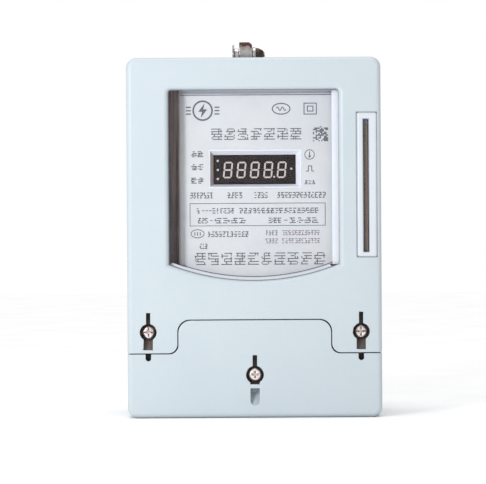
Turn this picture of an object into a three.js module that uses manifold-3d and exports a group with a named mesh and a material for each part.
// Single-phase prepaid electricity meter with a card slot, in millimetres.
//
// The meter stands upright: X runs to the right, Y runs from the front to the back, Z runs up.
// The origin is in the middle of the bottom face. Every piece is its own closed solid.
import * as THREE from "three";
import { mergeVertices } from "three/addons/utils/BufferGeometryUtils.js";
import Module from "manifold-3d";

const wasm = await Module();
wasm.setup();

// ---------------------------------------------------------------- driving dimensions

const CASE_WIDTH = 113;
const CASE_HEIGHT = 160;
const CASE_DEPTH = 60;
const COVER_DEPTH = 36; // how far the two front covers reach back
const WALL = 2.2; // wall of both covers and the base
const FIT = 0.3; // clearance between pieces that touch
const CORNER_RADIUS = 4.5; // outer corners of the case, seen from the front
const FRONT_FILLET = 2.2; // round edge where the front face meets the sides
const SEAM = 0.4; // visible gap between the upper and the terminal cover

const SEAM_LOW_Z = 28.6; // seam below the two lobes of the upper cover
const SEAM_HIGH_Z = 43.5; // seam above the middle of the terminal cover
const SEAM_STEP_X = 34.1; // where the seam steps up, left and right
const SEAM_HIGH_RADIUS = 5.5;
const SEAM_LOW_RADIUS = 4;

const WINDOW_HALF_WIDTH = 37.9;
const WINDOW_TOP_Z = 145.8;
const WINDOW_LOW_Z = 60.7; // lowest point of the curved lower edge
const WINDOW_ARC_RADIUS = 102;
const WINDOW_CORNER_RADIUS = 1.5; // upper corners
const WINDOW_FLARE = 2; // round front edge of the opening

const COVER_SCREW_X = 47.2;
const COVER_SCREW_Z = 38.1;
const TERMINAL_SCREW_Z = 19.1; // sealing screw of the terminal cover, on the centre line

const CARD_SLOT_X = 49.8;
const CARD_SLOT_WIDTH = 2.4;
const CARD_SLOT_Z = [73.4, 132.2]; // a 54 mm wide card passes with clearance

const TERMINAL_X = [-33, -13, 13, 33];
const CABLE_HOLE_RADIUS = 3.2;

const BOARD_Y = [10, 11.6];

// ---------------------------------------------------------------- places worked out from them

const FRONT_Y = -CASE_DEPTH / 2;
const BACK_Y = CASE_DEPTH / 2;
const SPLIT_Y = FRONT_Y + COVER_DEPTH; // where the covers meet the base
const COVER_BACK_Y = SPLIT_Y - FIT / 2;
const BASE_FRONT_Y = SPLIT_Y + FIT / 2;
const BASE_FLOOR_Y = BACK_Y - 2.5; // inner face of the back wall
const HALF_WIDTH = CASE_WIDTH / 2;
const SCREW_FLOOR_Y = FRONT_Y + 5.5; // bottom of the recesses of the sealing screws
const FACE_BACK_Y = FRONT_Y + WALL; // inner face of the front wall
const ARC_STEPS = 5;
const BEYOND = 5; // how far a cutting solid runs past the piece it cuts

// ---------------------------------------------------------------- geometry helpers

// Turns a closed three.js geometry into a solid that can be joined and cut.
function solidFrom(geometry) {
  const plain = geometry.clone();
  plain.deleteAttribute("normal");
  plain.deleteAttribute("uv");
  const merged = mergeVertices(plain, 1e-4);
  const corners = merged.index.array;
  const triangles = [];
  for (let i = 0; i < corners.length; i += 3) {
    const [a, b, c] = corners.slice(i, i + 3);
    if (a !== b && b !== c && c !== a) {
      triangles.push(a, b, c);
    }
  }
  return new wasm.Manifold(new wasm.Mesh({
    numProp: 3,
    vertProperties: new Float32Array(merged.attributes.position.array),
    triVerts: new Uint32Array(triangles),
  }));
}

function geometryFrom(solid) {
  const mesh = solid.getMesh();
  const geometry = new THREE.BufferGeometry();
  geometry.setAttribute("position", new THREE.BufferAttribute(new Float32Array(mesh.vertProperties), 3));
  geometry.setIndex(new THREE.BufferAttribute(new Uint32Array(mesh.triVerts), 1));
  geometry.computeVertexNormals();
  return geometry;
}

function union(...solids) {
  return solids.reduce((whole, piece) => whole.add(piece));
}

function cut(solid, ...tools) {
  return tools.reduce((rest, tool) => rest.subtract(tool), solid);
}

function box([x0, x1], [y0, y1], [z0, z1]) {
  const geometry = new THREE.BoxGeometry(x1 - x0, y1 - y0, z1 - z0);
  geometry.translate((x0 + x1) / 2, (y0 + y1) / 2, (z0 + z1) / 2);
  return solidFrom(geometry);
}

// A box whose front and back rectangles differ; each rectangle is [[x0, x1], [z0, z1]].
function taperedBox(front, back, [y0, y1]) {
  const geometry = new THREE.BoxGeometry(1, 1, 1);
  const place = geometry.attributes.position;
  for (let i = 0; i < place.count; i += 1) {
    const isBack = place.getY(i) > 0;
    const [[x0, x1], [z0, z1]] = isBack ? back : front;
    place.setXYZ(i, place.getX(i) > 0 ? x1 : x0, isBack ? y1 : y0, place.getZ(i) > 0 ? z1 : z0);
  }
  return solidFrom(geometry);
}

function rodY(x, z, radius, [y0, y1], sides = 20) {
  const geometry = new THREE.CylinderGeometry(radius, radius, y1 - y0, sides);
  geometry.translate(x, (y0 + y1) / 2, z);
  return solidFrom(geometry);
}

function rodZ(x, y, radius, [z0, z1], sides = 20) {
  const geometry = new THREE.CylinderGeometry(radius, radius, z1 - z0, sides);
  geometry.rotateX(Math.PI / 2);
  geometry.translate(x, y, (z0 + z1) / 2);
  return solidFrom(geometry);
}

function rodX(y, z, radius, [x0, x1], sides = 20) {
  const geometry = new THREE.CylinderGeometry(radius, radius, x1 - x0, sides);
  geometry.rotateZ(Math.PI / 2);
  geometry.translate((x0 + x1) / 2, y, z);
  return solidFrom(geometry);
}

// A turned solid round an axis along Y; the profile is a list of [radius, y].
function turnedY(x, z, profile, sides = 20) {
  const geometry = new THREE.LatheGeometry(profile.map(([r, y]) => new THREE.Vector2(r, y)), sides);
  geometry.translate(x, 0, z);
  return solidFrom(geometry);
}

// A shape in the X-Z plane from corners [x, z, radius], each with its own round.
function roundedShape(corners) {
  const shape = new THREE.Shape();
  corners.forEach(([x, z, radius = 0], i) => {
    const [beforeX, beforeZ] = corners.at(i - 1);
    const [afterX, afterZ] = corners[(i + 1) % corners.length];
    const corner = new THREE.Vector2(x, z);
    const toBefore = new THREE.Vector2(beforeX, beforeZ).sub(corner).normalize();
    const toAfter = new THREE.Vector2(afterX, afterZ).sub(corner).normalize();
    if (radius <= 0) {
      shape[i === 0 ? "moveTo" : "lineTo"](x, z);
      return;
    }
    const halfAngle = Math.acos(toBefore.dot(toAfter)) / 2;
    const reach = radius / Math.tan(halfAngle);
    const start = corner.clone().addScaledVector(toBefore, reach);
    const end = corner.clone().addScaledVector(toAfter, reach);
    const middle = toBefore.clone().add(toAfter).normalize();
    const centre = corner.clone().addScaledVector(middle, radius / Math.sin(halfAngle));
    const startAngle = Math.atan2(start.y - centre.y, start.x - centre.x);
    const endAngle = Math.atan2(end.y - centre.y, end.x - centre.x);
    const turnsClockwise = toBefore.cross(toAfter) > 0;
    shape.absarc(centre.x, centre.y, radius, startAngle, endAngle, turnsClockwise);
  });
  shape.closePath();
  return shape;
}

function roundedRectangle([x0, x1], [z0, z1], radius) {
  return roundedShape([[x0, z0, radius], [x1, z0, radius], [x1, z1, radius], [x0, z1, radius]]);
}

// Extrudes a shape in the X-Z plane from y0 to y1.
function prism(shape, [y0, y1]) {
  const geometry = new THREE.ExtrudeGeometry(shape, {
    depth: y1 - y0,
    bevelEnabled: false,
    curveSegments: ARC_STEPS,
  });
  geometry.rotateX(Math.PI / 2);
  geometry.translate(0, y1, 0);
  return solidFrom(geometry);
}

// The same, with a round edge at its front.
function filletedPrism(shape, [y0, y1], fillet) {
  const geometry = new THREE.ExtrudeGeometry(shape, {
    depth: y1 - y0,
    bevelThickness: fillet,
    bevelSize: fillet,
    bevelOffset: -fillet,
    bevelSegments: 3,
    curveSegments: ARC_STEPS,
  });
  geometry.rotateX(Math.PI / 2);
  geometry.translate(0, y1 + fillet, 0);
  const behind = box([-CASE_WIDTH, CASE_WIDTH], [y1, y1 + CASE_DEPTH], [-CASE_HEIGHT, 2 * CASE_HEIGHT]);
  return cut(solidFrom(geometry), behind);
}

// A solid through several outlines with the same number of points, from front to back.
// Each outline is [shape, y].
function loft(outlines) {
  const rings = outlines.map(([shape, y]) => shape.getPoints().map((point) => [point.x, y, point.y]));
  const count = rings[0].length;
  const triangles = [];
  for (let ring = 0; ring + 1 < rings.length; ring += 1) {
    for (let i = 0; i < count; i += 1) {
      const here = ring * count + i;
      const next = ring * count + ((i + 1) % count);
      triangles.push(here, here + count, next + count, here, next + count, next);
    }
  }
  const lastRing = (rings.length - 1) * count;
  for (const [a, b, c] of THREE.ShapeUtils.triangulateShape(outlines[0][0].getPoints(), [])) {
    triangles.push(a, b, c, lastRing + a, lastRing + c, lastRing + b);
  }
  const geometry = new THREE.BufferGeometry();
  geometry.setAttribute("position", new THREE.Float32BufferAttribute(rings.flat(2), 3));
  geometry.setIndex(triangles);
  return solidFrom(geometry);
}

// Extrudes a profile in the Y-Z plane from x0 to x1.
function prismX(profile, [x0, x1]) {
  const shape = new THREE.Shape(profile.map(([y, z]) => new THREE.Vector2(y, z)));
  const geometry = new THREE.ExtrudeGeometry(shape, { depth: x1 - x0, bevelEnabled: false });
  geometry.rotateX(Math.PI / 2);
  geometry.rotateZ(Math.PI / 2);
  geometry.translate(x0, 0, 0);
  return solidFrom(geometry);
}

// ---------------------------------------------------------------- materials and the assembly

const PALE_PLASTIC = { color: 0xdfe8ee, roughness: 0.42, metalness: 0 };
const WHITE_PLASTIC = { color: 0xeef3f6, roughness: 0.4, metalness: 0 };
const BLACK_PLASTIC = { color: 0x1c1a1a, roughness: 0.45, metalness: 0 };
const BROWN_PLASTIC = { color: 0x3a2c26, roughness: 0.5, metalness: 0 };
const GREY_PLASTIC = { color: 0x77808a, roughness: 0.5, metalness: 0 };
const CLEAR_PLASTIC = { color: 0xf4f8fa, roughness: 0.08, metalness: 0 };
const PLATE_LACQUER = { color: 0xd9dce8, roughness: 0.35, metalness: 0.1 };
const BOARD_GREEN = { color: 0x1f5a34, roughness: 0.5, metalness: 0 };
const STEEL = { color: 0xc9ccd0, roughness: 0.28, metalness: 1 };
const BRASS = { color: 0xc7a45a, roughness: 0.35, metalness: 1 };
const COPPER = { color: 0xb8754c, roughness: 0.38, metalness: 1 };
const BLUE_SLEEVE = { color: 0x24457e, roughness: 0.4, metalness: 0 };
const YELLOW_RESIN = { color: 0xd8a92e, roughness: 0.45, metalness: 0 };
const RUBBER = { color: 0x2a2b2d, roughness: 0.8, metalness: 0 };

const meter = new THREE.Group();

function add(name, solid, finish, group = meter) {
  const mesh = new THREE.Mesh(geometryFrom(solid), new THREE.MeshStandardMaterial(finish));
  mesh.name = name;
  group.add(mesh);
  return mesh;
}

// ---------------------------------------------------------------- outlines of the case

// The upper cover hangs down in two lobes on each side of the terminal cover.
function upperCoverShape(inset) {
  const side = HALF_WIDTH - inset;
  const step = SEAM_STEP_X + SEAM / 2 + inset;
  const low = SEAM_LOW_Z + SEAM / 2 + inset;
  const high = SEAM_HIGH_Z + SEAM / 2 + inset;
  const top = CASE_HEIGHT - inset;
  const corner = Math.max(CORNER_RADIUS - inset, 1);
  const lobeCorner = Math.max(SEAM_LOW_RADIUS - inset, 1);
  const shoulder = SEAM_HIGH_RADIUS + inset;
  return roundedShape([
    [-side, top, corner], [-side, low], [-step, low, lobeCorner], [-step, high, shoulder],
    [step, high, shoulder], [step, low, lobeCorner], [side, low], [side, top, corner],
  ]);
}

function terminalCoverShape(inset) {
  const side = HALF_WIDTH - inset;
  const step = SEAM_STEP_X - SEAM / 2 - inset;
  const low = SEAM_LOW_Z - SEAM / 2 - inset;
  const high = SEAM_HIGH_Z - SEAM / 2 - inset;
  const corner = Math.max(CORNER_RADIUS - inset, 1);
  const shoulder = Math.max(SEAM_HIGH_RADIUS - inset, 1);
  const lobeCorner = SEAM_LOW_RADIUS + inset;
  return roundedShape([
    [-side, inset, corner], [side, inset, corner], [side, low], [step, low, lobeCorner],
    [step, high, shoulder], [-step, high, shoulder], [-step, low, lobeCorner], [-side, low],
  ]);
}

function caseShape(inset) {
  const side = HALF_WIDTH - inset;
  return roundedRectangle([-side, side], [inset, CASE_HEIGHT - inset], Math.max(CORNER_RADIUS - inset, 1));
}

function arcPoints(x, z, radius, startAngle, endAngle, steps) {
  const points = [];
  for (let i = 0; i <= steps; i += 1) {
    const angle = startAngle + ((endAngle - startAngle) * i) / steps;
    points.push(new THREE.Vector2(x + radius * Math.cos(angle), z + radius * Math.sin(angle)));
  }
  return points;
}

// The window has small round upper corners, straight sides and a shallow arc below.
// A positive grow widens it all round.
function windowShape(grow) {
  const side = WINDOW_HALF_WIDTH + grow;
  const top = WINDOW_TOP_Z + grow;
  const corner = WINDOW_CORNER_RADIUS + grow;
  const radius = WINDOW_ARC_RADIUS + grow;
  const arcEnd = Math.acos(side / radius);
  return new THREE.Shape([
    ...arcPoints(side - corner, top - corner, corner, 0, Math.PI / 2, 3),
    ...arcPoints(corner - side, top - corner, corner, Math.PI / 2, Math.PI, 3),
    ...arcPoints(0, WINDOW_LOW_Z + WINDOW_ARC_RADIUS, radius, arcEnd - Math.PI, -arcEnd, 16),
  ]);
}

// ---------------------------------------------------------------- rear base

const BOARD_POST_PLACES = [[-46, 88], [-46, 149], [40, 88], [40, 149]];
const WALL_HOLE_PLACES = [[-49, 9], [49, 9]];
const WALL_HOLE_RADIUS = 3;
const DIVIDER_Z = [43.9, 45.9];
const CABLE_ENTRY_RADIUS = 5.2;
const HANGER_STRAP_Y = [27, 28.5];
const HANGER_STRAP_HALF_WIDTH = 8;
const HANGER_LOW_Z = 124; // lower end of the strap, resting on the end of its channel
const HANGER_STOP_Z = 144; // stud that runs in the slot of the strap and ends its travel
const INSERT_RADIUS = 2.5;
const CENTRE_POST_FRONT_Y = -10;

function cableEntries() {
  return union(...TERMINAL_X.map((x) => rodZ(x, SPLIT_Y, CABLE_ENTRY_RADIUS, [-BEYOND, WALL + 1])));
}

function screwPost(x, z, frontY) {
  return rodY(x, z, 4.5, [frontY, BASE_FLOOR_Y + 1]);
}

function screwPostBore(x, z, frontY) {
  return rodY(x, z, INSERT_RADIUS + FIT, [frontY - 1, frontY + 14]);
}

function rearBase() {
  const tray = cut(
    prism(caseShape(0), [BASE_FRONT_Y, BACK_Y]),
    prism(caseShape(WALL), [BASE_FRONT_Y - BEYOND, BASE_FLOOR_Y]),
  );
  const innerSide = HALF_WIDTH - WALL + 0.5;
  const divider = cut(
    box([-innerSide, innerSide], [BASE_FRONT_Y + 2, BASE_FLOOR_Y + 1], DIVIDER_Z),
    ...TERMINAL_X.slice(0, 2).map((x) => box([x - 5, x + 5], [0, 17], [DIVIDER_Z[0] - 1, DIVIDER_Z[1] + 1])),
  );
  const boardPosts = BOARD_POST_PLACES.map(([x, z]) => rodY(x, z, 3.5, [BOARD_Y[1] + FIT, BASE_FLOOR_Y + 1]));
  const boardBores = BOARD_POST_PLACES.map(([x, z]) => rodY(x, z, 1.6, [BOARD_Y[1], BOARD_Y[1] + 12], 16));
  const channelBoss = box([-12, 12], [HANGER_STRAP_Y[0] - 2.7, BASE_FLOOR_Y + 1], [112, CASE_HEIGHT - 1]);
  const body = union(
    tray,
    divider,
    channelBoss,
    ...boardPosts,
    screwPost(-COVER_SCREW_X, COVER_SCREW_Z, BASE_FRONT_Y),
    screwPost(COVER_SCREW_X, COVER_SCREW_Z, BASE_FRONT_Y),
    screwPost(0, TERMINAL_SCREW_Z, CENTRE_POST_FRONT_Y),
  );

  const strapSide = HANGER_STRAP_HALF_WIDTH + FIT;
  const channelZ = [HANGER_LOW_Z - FIT, CASE_HEIGHT + BEYOND];
  const strapChannel = box(
    [-strapSide, strapSide],
    [HANGER_STRAP_Y[0] - FIT, HANGER_STRAP_Y[1] + FIT],
    channelZ,
  );
  const channelMouth = box([-strapSide + 2.2, strapSide - 2.2], [HANGER_STRAP_Y[1], BACK_Y + BEYOND], channelZ);
  const stopStud = rodY(0, HANGER_STOP_Z, 1.8, [HANGER_STRAP_Y[0] - 1.5, BACK_Y - 0.6], 12);
  return cut(
    cut(body, strapChannel, channelMouth).add(stopStud),
    cableEntries(),
    ...boardBores,
    ...WALL_HOLE_PLACES.map(([x, z]) => rodY(x, z, WALL_HOLE_RADIUS, [BASE_FLOOR_Y - 1, BACK_Y + 1])),
    screwPostBore(-COVER_SCREW_X, COVER_SCREW_Z, BASE_FRONT_Y),
    screwPostBore(COVER_SCREW_X, COVER_SCREW_Z, BASE_FRONT_Y),
    screwPostBore(0, TERMINAL_SCREW_Z, CENTRE_POST_FRONT_Y),
  );
}

// ---------------------------------------------------------------- the two front covers

// A shell with a front wall and side walls, open at the back.
// Its outer edges are round and its edges along the seam are sharp.
function coverShell(shapeAt) {
  const front = filletedPrism(caseShape(0), [FRONT_Y, COVER_BACK_Y], FRONT_FILLET);
  return cut(
    front.intersect(prism(shapeAt(0), [FRONT_Y - 1, COVER_BACK_Y + 1])),
    prism(shapeAt(WALL), [FACE_BACK_Y, COVER_BACK_Y + BEYOND]),
  );
}

// A cut in the front face whose floor rises from the depth of the screw recess at its upper end.
function rampedSlot(x, halfWidth, [z0, z1], shallowY) {
  return prismX(
    [[FRONT_Y - 1, z0], [shallowY, z0], [SCREW_FLOOR_Y, z1 - 2], [SCREW_FLOOR_Y, z1], [FRONT_Y - 1, z1]],
    [x - halfWidth, x + halfWidth],
  );
}

// The recess of a cover screw: a round well with a seal-wire slot above and a wider ramp below.
function coverScrewRecess(x) {
  const depth = [FRONT_Y - 1, SCREW_FLOOR_Y];
  const z = COVER_SCREW_Z;
  return union(
    rodY(x, z, 3.7, depth),
    box([x - 0.85, x + 0.85], depth, [z, z + 8.6]),
    rampedSlot(x, 1.95, [z - 7.8, z], FRONT_Y + 1.8),
  );
}

// The window opening, wider at the front where its edge is round.
function windowCutter() {
  const outlines = [[windowShape(WINDOW_FLARE), FRONT_Y - 1]];
  const steps = 4;
  for (let i = 0; i <= steps; i += 1) {
    const angle = ((1 - i / steps) * Math.PI) / 2;
    const grow = WINDOW_FLARE * (1 - Math.cos(angle));
    outlines.push([windowShape(grow), FRONT_Y + WINDOW_FLARE * (1 - Math.sin(angle))]);
  }
  outlines.push([windowShape(0), FACE_BACK_Y + 1]);
  return loft(outlines);
}

const CARD_INSERT_X = [45.7, 54.6];
const CARD_INSERT_Z = [71.1, 135.3];
const CARD_INSERT_DEPTH = 6;

function frontCover() {
  const backing = [FACE_BACK_Y - 1, SCREW_FLOOR_Y + 2];
  const lobeFill = [-1, 1].map((side) => {
    const edges = [side * (HALF_WIDTH - 1), side * 40].sort((a, b) => a - b);
    return box(edges, backing, [SEAM_LOW_Z + 1, COVER_SCREW_Z + 11]);
  });
  const bosses = [-1, 1].map((side) => (
    rodY(side * COVER_SCREW_X, COVER_SCREW_Z, 5, [FACE_BACK_Y - 1, COVER_BACK_Y])
  ));
  const insertX = [CARD_INSERT_X[0] - FIT, CARD_INSERT_X[1] + FIT];
  const insertZ = [CARD_INSERT_Z[0] - FIT, CARD_INSERT_Z[1] + FIT];
  return cut(
    union(coverShell(upperCoverShape), ...lobeFill, ...bosses),
    windowCutter(),
    box(insertX, [FRONT_Y - 1, FRONT_Y + CARD_INSERT_DEPTH + FIT], insertZ),
    coverScrewRecess(-COVER_SCREW_X),
    coverScrewRecess(COVER_SCREW_X),
    rodY(-COVER_SCREW_X, COVER_SCREW_Z, 2, [FRONT_Y, COVER_BACK_Y + 1]),
    rodY(COVER_SCREW_X, COVER_SCREW_Z, 2, [FRONT_Y, COVER_BACK_Y + 1]),
  );
}

function terminalCover() {
  const backing = [FACE_BACK_Y - 1, SCREW_FLOOR_Y + 2];
  const recessDepth = [FRONT_Y - 1, SCREW_FLOOR_Y];
  const z = TERMINAL_SCREW_Z;
  const bossBack = CENTRE_POST_FRONT_Y - FIT;
  const recess = union(
    rodY(0, z, 3.9, recessDepth),
    box([-0.9, 0.9], recessDepth, [z, z + 8.6]),
    box([-2, 2], recessDepth, [z - 4.2, z]),
  );
  const slotRound = z - 11.6;
  const slotOutline = union(
    box([-2, 2], recessDepth, [slotRound, z - 6]),
    rodY(0, slotRound, 2, recessDepth),
  );
  const lowerSlot = rampedSlot(0, 2, [slotRound - 2, z - 6], FRONT_Y + 1).intersect(slotOutline);
  const sealHoles = [-COVER_SCREW_X, COVER_SCREW_X].map((x) => union(
    box([x - 1.15, x + 1.15], [FRONT_Y - 1, SCREW_FLOOR_Y], [SEAM_LOW_Z - 2, SEAM_LOW_Z + 1]),
    rodY(x, SEAM_LOW_Z - 2, 1.15, [FRONT_Y - 1, SCREW_FLOOR_Y], 16),
  ));
  const sealBacking = [-COVER_SCREW_X, COVER_SCREW_X].map((x) => (
    box([x - 3, x + 3], backing, [SEAM_LOW_Z - 6, SEAM_LOW_Z - 1])
  ));
  return cut(
    union(
      coverShell(terminalCoverShape),
      box([-6, 6], backing, [3, SEAM_LOW_Z + 1]),
      rodY(0, z, 5, [FACE_BACK_Y - 1, bossBack]),
      ...sealBacking,
    ),
    recess,
    lowerSlot,
    ...sealHoles,
    rodY(0, z, 2, [FRONT_Y, bossBack + 1]),
    cableEntries(),
  );
}

// ---------------------------------------------------------------- window and dial

const LENS_Y = [FACE_BACK_Y + FIT, FACE_BACK_Y + FIT + 1.8];
const DIAL_FRONT_Y = LENS_Y[1] + FIT;
const DIAL_FLOOR_Y = [-18.5, -16.5];
const PLATE_Y = [DIAL_FLOOR_Y[0] - FIT - 1, DIAL_FLOOR_Y[0] - FIT];
const BEZEL_X = [-20, 21.4];
const BEZEL_Z = [102.2, 119.4];
const DISPLAY_X = [-18.1, 18.9];
const DISPLAY_Z = [103.9, 117.1];
const BEZEL_DEPTH_Y = PLATE_Y[0] + 2.5; // where the sloping sides of the bezel end
const DISPLAY_BOARD_Y = [-9.5, -8];
const DIAL_LEG_PLACES = [[-30, 120], [34, 146], [34, 86], [-30, 86]];

function grown([low, high], by) {
  return [low - by, high + by];
}

function dialFrame() {
  const rim = cut(
    prism(windowShape(1.9), [DIAL_FRONT_Y, DIAL_FLOOR_Y[1]]),
    prism(windowShape(0.2), [DIAL_FRONT_Y - 1, DIAL_FLOOR_Y[0]]),
  );
  const sideGap = box([-WINDOW_HALF_WIDTH - 0.1, -34], [DIAL_FLOOR_Y[0] - 1, DIAL_FLOOR_Y[1] + 1], [69, 145]);
  const displayHole = box(grown(BEZEL_X, FIT), [DIAL_FLOOR_Y[0] - 1, DIAL_FLOOR_Y[1] + 1], grown(BEZEL_Z, FIT));
  const legs = DIAL_LEG_PLACES.map(([x, z]) => rodY(x, z, 2.5, [DIAL_FLOOR_Y[1] - 1, BOARD_Y[0] - FIT], 16));
  return union(cut(rim, sideGap, displayHole), ...legs);
}

function nameplate() {
  const inWindow = prism(windowShape(-1.2), PLATE_Y);
  const leftOfPlate = box([-60, -33.6], grown(PLATE_Y, 1), [0, CASE_HEIGHT]);
  const displayHole = box(grown(BEZEL_X, FIT), grown(PLATE_Y, 1), grown(BEZEL_Z, FIT));
  return cut(inWindow, leftOfPlate, displayHole);
}

function displayBezel() {
  const opening = [DISPLAY_X, DISPLAY_Z];
  return cut(
    box(BEZEL_X, [PLATE_Y[0], -13.2], BEZEL_Z),
    taperedBox([grown(BEZEL_X, -0.5), grown(BEZEL_Z, -0.5)], opening, [PLATE_Y[0] - 0.01, BEZEL_DEPTH_Y]),
    box(DISPLAY_X, [BEZEL_DEPTH_Y - 0.01, 0], DISPLAY_Z),
  );
}

function displayModule() {
  return box(grown(DISPLAY_X, -FIT), [BEZEL_DEPTH_Y + 0.5, DISPLAY_BOARD_Y[0] - FIT], grown(DISPLAY_Z, -FIT));
}

// ---------------------------------------------------------------- card slot and reader

const READER_X = [44.9, 52.2];
const READER_Y = [FRONT_Y + 6.3, BOARD_Y[0] - FIT];
const READER_Z = [70, 136];
const CONTACT_POCKET_Y = [-9, -1];
const CONTACT_POCKET_Z = [92, 114];
const SWITCH_PIVOT = { x: 46.7, y: 2.2 };
const SWITCH_POCKET_Y = [0.4, 9];
const SWITCH_POCKET_Z = [77, 85];

function cardSlotInsert() {
  const insertY = [FRONT_Y, FRONT_Y + CARD_INSERT_DEPTH];
  const face = filletedPrism(roundedRectangle(CARD_INSERT_X, CARD_INSERT_Z, 1), insertY, 0.9);
  const slotX = [CARD_SLOT_X - CARD_SLOT_WIDTH / 2, CARD_SLOT_X + CARD_SLOT_WIDTH / 2];
  return cut(
    face,
    box(slotX, grown(insertY, 1), CARD_SLOT_Z),
    taperedBox([grown(slotX, 0.5), grown(CARD_SLOT_Z, 0.5)], [slotX, CARD_SLOT_Z], [FRONT_Y - 0.01, FRONT_Y + 0.8]),
  );
}

function cardReader() {
  const slotX = [CARD_SLOT_X - CARD_SLOT_WIDTH / 2, CARD_SLOT_X + CARD_SLOT_WIDTH / 2];
  return cut(
    box(READER_X, READER_Y, READER_Z),
    box(slotX, [READER_Y[0] - 1, READER_Y[1] - 1.5], CARD_SLOT_Z),
    box([READER_X[0] - 1, slotX[0] + 0.01], CONTACT_POCKET_Y, CONTACT_POCKET_Z),
    box([READER_X[0] - 1, slotX[0] + 0.01], SWITCH_POCKET_Y, SWITCH_POCKET_Z),
    rodZ(SWITCH_PIVOT.x, SWITCH_PIVOT.y, 0.9, [SWITCH_POCKET_Z[0] - 1.5, SWITCH_POCKET_Z[1] + 1.5], 12),
  );
}

// Eight sprung contacts on one carrier, in two columns of four.
function cardContacts() {
  const z = grown(CONTACT_POCKET_Z, -FIT);
  const carrier = box([READER_X[0] + 0.3, READER_X[0] + 1.5], grown(CONTACT_POCKET_Y, -FIT), z);
  const fingers = [];
  for (const y of [-7.2, -4.2]) {
    for (let row = 0; row < 4; row += 1) {
      const fingerZ = z[0] + 2.4 + row * 5.2;
      fingers.push(prismX([[y, fingerZ], [y + 1.4, fingerZ], [y + 1.4, fingerZ + 1.6], [y, fingerZ + 1.6]],
        [READER_X[0] + 1, CARD_SLOT_X - 0.6]));
    }
  }
  return union(carrier, ...fingers);
}

function cardSwitchLever() {
  const { x, y } = SWITCH_PIVOT;
  const z = [SWITCH_POCKET_Z[0] + FIT, SWITCH_POCKET_Z[1] - FIT];
  const arm = union(
    box([x - 0.5, x + 0.6], [y, y + 5.6], z),
    rodZ(x, y, 1.5 - FIT + 0.2, z, 16),
    taperedBox([[x - 0.2, x + 0.6], z], [[x - 0.2, x + 2.6], z], [y + 2.6, y + 4.8]),
  );
  return cut(arm, rodZ(x, y, 0.9, grown(z, 1), 12));
}

function cardSwitchPin() {
  return rodZ(SWITCH_PIVOT.x, SWITCH_PIVOT.y, 0.6, grown(SWITCH_POCKET_Z, 1.2), 12);
}

// A strip of short bristles just inside the slot that keeps dust out; a card pushes it aside.
function cardDustBrush() {
  const x = [CARD_SLOT_X - CARD_SLOT_WIDTH / 2 + FIT, CARD_SLOT_X + CARD_SLOT_WIDTH / 2 - FIT];
  const bristlesY = [FRONT_Y + 2.4, FRONT_Y + 4.4];
  const bristles = box(x, bristlesY, [CARD_SLOT_Z[0] + FIT, CARD_SLOT_Z[1] - 2.2]);
  const holder = box([x[0], x[0] + 0.6], [bristlesY[0] + 1, bristlesY[1] + 1.2], [CARD_SLOT_Z[0] + FIT, CARD_SLOT_Z[1] - FIT]);
  return union(bristles, holder);
}

// ---------------------------------------------------------------- sealing screws and their inserts

const SEAL_SCREW_RADIUS = 1.6;

// A captive sealing screw: cheese head with a cross recess, and a hole for the seal wire.
function sealingScrew(x, z, headRadius, tipY) {
  const headBack = SCREW_FLOOR_Y - FIT;
  const headFront = headBack - 2.6;
  const screw = turnedY(x, z, [
    [0, headFront], [headRadius - 0.6, headFront], [headRadius, headFront + 0.6], [headRadius, headBack],
    [SEAL_SCREW_RADIUS, headBack], [SEAL_SCREW_RADIUS, tipY - 1], [SEAL_SCREW_RADIUS - 0.7, tipY], [0, tipY],
  ]);
  const crossDepth = [headFront - 1, headFront + 1.3];
  return cut(
    screw,
    box([x - 1.7, x + 1.7], crossDepth, [z - 0.4, z + 0.4]),
    box([x - 0.4, x + 0.4], crossDepth, [z - 1.7, z + 1.7]),
    rodX((headFront + headBack) / 2 + 0.5, z, 0.45, [x - 5, x + 5], 8),
  );
}

function threadInsert(x, z, frontY) {
  return cut(
    rodY(x, z, INSERT_RADIUS, [frontY + FIT, frontY + 10]),
    rodY(x, z, SEAL_SCREW_RADIUS + FIT, [frontY - 1, frontY + 11]),
  );
}

// ---------------------------------------------------------------- terminals

const BLOCK_X = [-44, 44];
const BLOCK_Y = [-10, BASE_FLOOR_Y - FIT];
const BLOCK_Z = [4, 25.8];
const CLAMP_HALF_WIDTH = 5.3;
const CLAMP_Y = [0.3, 15.3];
const CLAMP_Z = [6.5, 24];
const CLAMP_SCREW_Z = [10.8, 20.4];
const CLAMP_SCREW_RADIUS = 1.7;
const BUSBAR_Y = [12, 14];
const BUSBAR_HALF_WIDTH = 4;

function terminalBlock() {
  const ribs = [-23, 23].map((x) => box([x - 0.9, x + 0.9], [-15, BLOCK_Y[0] + 1], BLOCK_Z));
  const cuts = [];
  for (const x of TERMINAL_X) {
    const pocket = CLAMP_HALF_WIDTH + FIT;
    cuts.push(box([x - pocket, x + pocket], [0, CLAMP_Y[1] + FIT], [CLAMP_Z[0] - FIT, CLAMP_Z[1] + FIT]));
    cuts.push(rodZ(x, SPLIT_Y, CABLE_HOLE_RADIUS + 1, [BLOCK_Z[0] - 1, CLAMP_Z[0]]));
    const slot = BUSBAR_HALF_WIDTH + 0.5;
    cuts.push(box([x - slot, x + slot], grown(BUSBAR_Y, 0.5), [CLAMP_Z[1], BLOCK_Z[1] + 1]));
    for (const z of CLAMP_SCREW_Z) {
      cuts.push(rodY(x, z, 3.7, [BLOCK_Y[0] - 1, 1], 16));
    }
  }
  return cut(
    union(box(BLOCK_X, BLOCK_Y, BLOCK_Z), ...ribs),
    ...cuts,
    rodY(0, TERMINAL_SCREW_Z, 5.2, [BLOCK_Y[0] - 1, BLOCK_Y[1] + 1]),
  );
}

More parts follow.
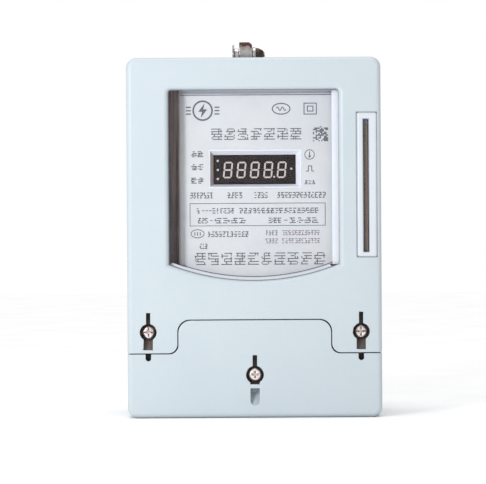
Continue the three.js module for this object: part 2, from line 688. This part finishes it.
function terminalClamp(x) {
  const screwHoles = CLAMP_SCREW_Z.map((z) => (
    rodY(x, z, CLAMP_SCREW_RADIUS + FIT, [CLAMP_Y[0] - 1, SPLIT_Y], 16)
  ));
  return cut(
    box([x - CLAMP_HALF_WIDTH, x + CLAMP_HALF_WIDTH], CLAMP_Y, CLAMP_Z),
    rodZ(x, SPLIT_Y, CABLE_HOLE_RADIUS, [CLAMP_Z[0] - 1, CLAMP_Z[1] - 1.2]),
    ...screwHoles,
  );
}

function terminalScrew(x, z) {
  const head = [-5.6, -2.8];
  const screw = turnedY(x, z, [
    [0, head[0]], [2.7, head[0]], [3, head[0] + 0.3], [3, head[1]],
    [CLAMP_SCREW_RADIUS, head[1]], [CLAMP_SCREW_RADIUS, 2.4], [0, 2.4],
  ], 14);
  return cut(screw, box([x - 0.45, x + 0.45], [head[0] - 1, head[0] + 1.3], [z - 4, z + 4]));
}

// ---------------------------------------------------------------- relay, shunt and supply

const RELAY_X = [-36, 2];
const RELAY_Y = [3, BASE_FLOOR_Y - FIT];
const RELAY_Z = [50, 78];
const RELAY_WALL = 1.6;
const ARMATURE_X = [-9, -7.5];
const ARMATURE_Z = [51.9, 73];

function relayCase() {
  return cut(
    box(RELAY_X, RELAY_Y, RELAY_Z),
    box(grown(RELAY_X, -RELAY_WALL), [RELAY_Y[0] - 1, RELAY_Y[1] - RELAY_WALL], grown(RELAY_Z, -RELAY_WALL)),
  );
}

function relayCoil() {
  const y = 14;
  const z = 63;
  return union(
    rodX(y, z, 7, [-31, -13.5]),
    rodX(y, z, 9, [-32.5, -30.5]),
    rodX(y, z, 9, [-14, -12.5]),
    rodX(y, z, 2.2, [-34, -10.4], 16),
  );
}

function relayArmature() {
  return union(
    box(ARMATURE_X, [6, 22], ARMATURE_Z),
    box([ARMATURE_X[0], ARMATURE_X[1] + 3], [12, 16], [69, 71]),
  );
}

function busbar(x, [z0, z1]) {
  return box([x - BUSBAR_HALF_WIDTH, x + BUSBAR_HALF_WIDTH], BUSBAR_Y, [z0, z1]);
}

function neutralLink() {
  const z = CLAMP_Z[1] + FIT;
  return union(
    box([TERMINAL_X[2] - BUSBAR_HALF_WIDTH, TERMINAL_X[3] + BUSBAR_HALF_WIDTH], BUSBAR_Y, [30, 37]),
    busbar(TERMINAL_X[2], [z, 31]),
    busbar(TERMINAL_X[3], [z, 31]),
  );
}

const CORE_X = [10, 44];
const CORE_Z = [50, 78];
const CORE_Y = [9, 21];
const LEG_X = [22.5, 31.5];

function transformerCore() {
  const windows = [[CORE_X[0] + 5.5, LEG_X[0]], [LEG_X[1], CORE_X[1] - 5.5]].map((x) => (
    box(x, grown(CORE_Y, 1), grown(CORE_Z, -5.5))
  ));
  return cut(box(CORE_X, CORE_Y, CORE_Z), ...windows);
}

function transformerBobbin() {
  const z = grown(CORE_Z, -5.8);
  return cut(
    box([CORE_X[0] + 5.8, CORE_X[1] - 5.8], [3.5, 26.8], z),
    box(grown(LEG_X, FIT), grown(CORE_Y, FIT), grown(z, 1)),
  );
}

// ---------------------------------------------------------------- circuit boards

const BOARD_X = [-51, 51];
const BOARD_Z = [83, 154];
const ON_BOARD_Y = BOARD_Y[0] - FIT; // where parts on the main board start

function mainBoard() {
  return cut(
    box(BOARD_X, BOARD_Y, BOARD_Z),
    ...BOARD_POST_PLACES.map(([x, z]) => rodY(x, z, 1.6, grown(BOARD_Y, 1), 16)),
  );
}

function boardScrew(x, z) {
  return turnedY(x, z, [
    [0, ON_BOARD_Y - 1.8], [1.8, ON_BOARD_Y - 1.8], [2.6, ON_BOARD_Y - 0.8], [2.6, ON_BOARD_Y],
    [1.25, ON_BOARD_Y], [1.25, ON_BOARD_Y + 9], [0, ON_BOARD_Y + 9],
  ], 16);
}

function displayBoard() {
  return box([-26, 26], DISPLAY_BOARD_Y, [98, 124]);
}

function displayHeader() {
  return box([-15, 15], [DISPLAY_BOARD_Y[1] + FIT, ON_BOARD_Y], [99, 101.5]);
}

// ---------------------------------------------------------------- hanger at the back

const EYE_Y = 25;
const EYE_Z = 165.6; // axis of the bolt through the eye
const EYE_TOP_Z = 171.4;
const EYE_RADIUS = 3.5;
const EYE_BORE = 2.2;
const EYE_X = [-6.2, 1.2];
const BOLT_RADIUS = 1.8;
const NUT_X = [1.8, 5.2];
const BOLT_HEAD_RADIUS = 4.6;
const EYE_SLOPE_X = -2.6; // right of here the top of the eye falls towards the nut

// A strap in a channel of the base, with its top rolled forward into an eye.
function hangerStrap() {
  const side = HANGER_STRAP_HALF_WIDTH;
  const strap = prism(roundedShape([
    [-side, HANGER_LOW_Z, 2], [side, HANGER_LOW_Z, 2], [side, 156, 1], [EYE_X[1], 159, 1], [EYE_X[1], EYE_Z],
    [EYE_X[0], EYE_Z], [EYE_X[0], 159, 1], [-side, 156, 1],
  ]), HANGER_STRAP_Y);
  const slot = union(
    box([-2.2, 2.2], grown(HANGER_STRAP_Y, 1), [132, 146]),
    rodY(0, 132, 2.2, grown(HANGER_STRAP_Y, 1), 16),
    rodY(0, 146, 2.2, grown(HANGER_STRAP_Y, 1), 16),
  );
  const upperRound = EYE_TOP_Z - EYE_RADIUS;
  const eye = union(
    rodX(EYE_Y, EYE_Z, EYE_RADIUS, EYE_X, 24),
    box(EYE_X, grown([EYE_Y, EYE_Y], EYE_RADIUS), [EYE_Z, upperRound]),
    rodX(EYE_Y, upperRound, EYE_RADIUS, EYE_X, 24),
  );
  const aboveSlope = prism(new THREE.Shape([
    new THREE.Vector2(EYE_SLOPE_X, EYE_TOP_Z),
    new THREE.Vector2(EYE_X[1] + 1, EYE_TOP_Z - 3.4),
    new THREE.Vector2(EYE_X[1] + 1, EYE_TOP_Z + 1),
  ]), grown([EYE_Y, EYE_Y], EYE_RADIUS + 1));
  return cut(union(strap, eye), rodX(EYE_Y, EYE_Z, EYE_BORE, grown(EYE_X, 1)), slot, aboveSlope);
}

// The bolt through the eye: a wide head on the left and a round nut on its threaded end.
function hangerBolt() {
  return union(
    rodX(EYE_Y, EYE_Z, BOLT_RADIUS, [-9.2, NUT_X[1] + 0.6]),
    rodX(EYE_Y, EYE_Z, BOLT_HEAD_RADIUS, [-9.4, -8.2]),
    rodX(EYE_Y, EYE_Z, 2.5, NUT_X, 12),
  );
}

// ---------------------------------------------------------------- assembly

add("rear_base", rearBase(), PALE_PLASTIC);
add("front_cover", frontCover(), PALE_PLASTIC);
add("terminal_cover", terminalCover(), PALE_PLASTIC);

const gasketY = [5, 8];
const gasketShape = (inset) => roundedRectangle(
  [-HALF_WIDTH + inset, HALF_WIDTH - inset],
  [DIVIDER_Z[1] + inset - 1, CASE_HEIGHT - inset],
  2,
);
add("case_gasket", cut(prism(gasketShape(2.8), gasketY), prism(gasketShape(4), grown(gasketY, 1))), RUBBER);

add("window_lens", prism(windowShape(2.4), LENS_Y), CLEAR_PLASTIC);
add("dial_frame", dialFrame(), PALE_PLASTIC);
add("nameplate", nameplate(), PLATE_LACQUER);
add("display_bezel", displayBezel(), WHITE_PLASTIC);
add("display_module", displayModule(), BLACK_PLASTIC);
add("display_board", displayBoard(), BOARD_GREEN);
add("display_header", displayHeader(), BLACK_PLASTIC);

add("card_slot_insert", cardSlotInsert(), WHITE_PLASTIC);
add("card_dust_brush", cardDustBrush(), BROWN_PLASTIC);
add("card_reader", cardReader(), BLACK_PLASTIC);
add("card_contacts", cardContacts(), BRASS);
add("card_switch_lever", cardSwitchLever(), GREY_PLASTIC);
add("card_switch_pin", cardSwitchPin(), STEEL);

const coverSides = { left: -COVER_SCREW_X, right: COVER_SCREW_X };
for (const [side, x] of Object.entries(coverSides)) {
  add(`cover_screw_${side}`, sealingScrew(x, COVER_SCREW_Z, 2.6, 16), STEEL);
  add(`cover_insert_${side}`, threadInsert(x, COVER_SCREW_Z, BASE_FRONT_Y), BRASS);
}
add("terminal_cover_screw", sealingScrew(0, TERMINAL_SCREW_Z, 2.8, 1), STEEL);
add("terminal_cover_insert", threadInsert(0, TERMINAL_SCREW_Z, CENTRE_POST_FRONT_Y), BRASS);

add("terminal_block", terminalBlock(), BROWN_PLASTIC);
TERMINAL_X.forEach((x, i) => {
  add(`terminal_clamp_${i + 1}`, terminalClamp(x), BRASS);
  add(`terminal_screw_${i + 1}_lower`, terminalScrew(x, CLAMP_SCREW_Z[0]), STEEL);
  add(`terminal_screw_${i + 1}_upper`, terminalScrew(x, CLAMP_SCREW_Z[1]), STEEL);
});

const barStart = CLAMP_Z[1] + FIT;
const barEnd = RELAY_Z[0] - FIT;
const shuntStart = 36;
add("line_busbar", busbar(TERMINAL_X[0], [barStart, shuntStart - FIT]), COPPER);
add("current_shunt", cut(
  busbar(TERMINAL_X[0], [shuntStart, barEnd]),
  box([TERMINAL_X[0] + 2, TERMINAL_X[0] + 5], grown(BUSBAR_Y, 1), [shuntStart + 4, barEnd - 4]),
), BRASS);
add("load_busbar", busbar(TERMINAL_X[1], [barStart, barEnd]), COPPER);
add("neutral_link", neutralLink(), COPPER);
add("relay_case", relayCase(), BLACK_PLASTIC);
add("relay_coil", relayCoil(), COPPER);
add("relay_armature", relayArmature(), STEEL);
add("transformer_core", transformerCore(), STEEL);
add("transformer_bobbin", transformerBobbin(), YELLOW_RESIN);

add("main_board", mainBoard(), BOARD_GREEN);
BOARD_POST_PLACES.forEach(([x, z], i) => {
  add(`board_screw_${i + 1}`, boardScrew(x, z), STEEL);
});
add("mcu_chip", box([-8, 8], [ON_BOARD_Y - 2, ON_BOARD_Y], [124, 136]), BLACK_PLASTIC);
add("metering_chip", box([-36, -26], [ON_BOARD_Y - 1.8, ON_BOARD_Y], [104, 114]), BLACK_PLASTIC);
add("clock_crystal", box([-20, -10], [ON_BOARD_Y - 3.4, ON_BOARD_Y], [110, 114]), STEEL);
add("backup_battery", rodX(ON_BOARD_Y - 7.3, 144.5, 7.2, [-38, -13]), BLUE_SLEEVE);
add("buzzer", rodY(28, 130, 6, [ON_BOARD_Y - 9, ON_BOARD_Y]), BLACK_PLASTIC);
add("filter_capacitor", box([-42, -24], [ON_BOARD_Y - 12, ON_BOARD_Y], [90, 101]), YELLOW_RESIN);
add("smoothing_capacitor", rodY(-8, 91, 5, [ON_BOARD_Y - 16, ON_BOARD_Y]), BLUE_SLEEVE);
add("varistor", rodX(ON_BOARD_Y - 6.8, 91, 6.5, [14, 18]), BLUE_SLEEVE);

add("hanger_strap", hangerStrap(), STEEL);
add("hanger_bolt", hangerBolt(), STEEL);

export default meter;
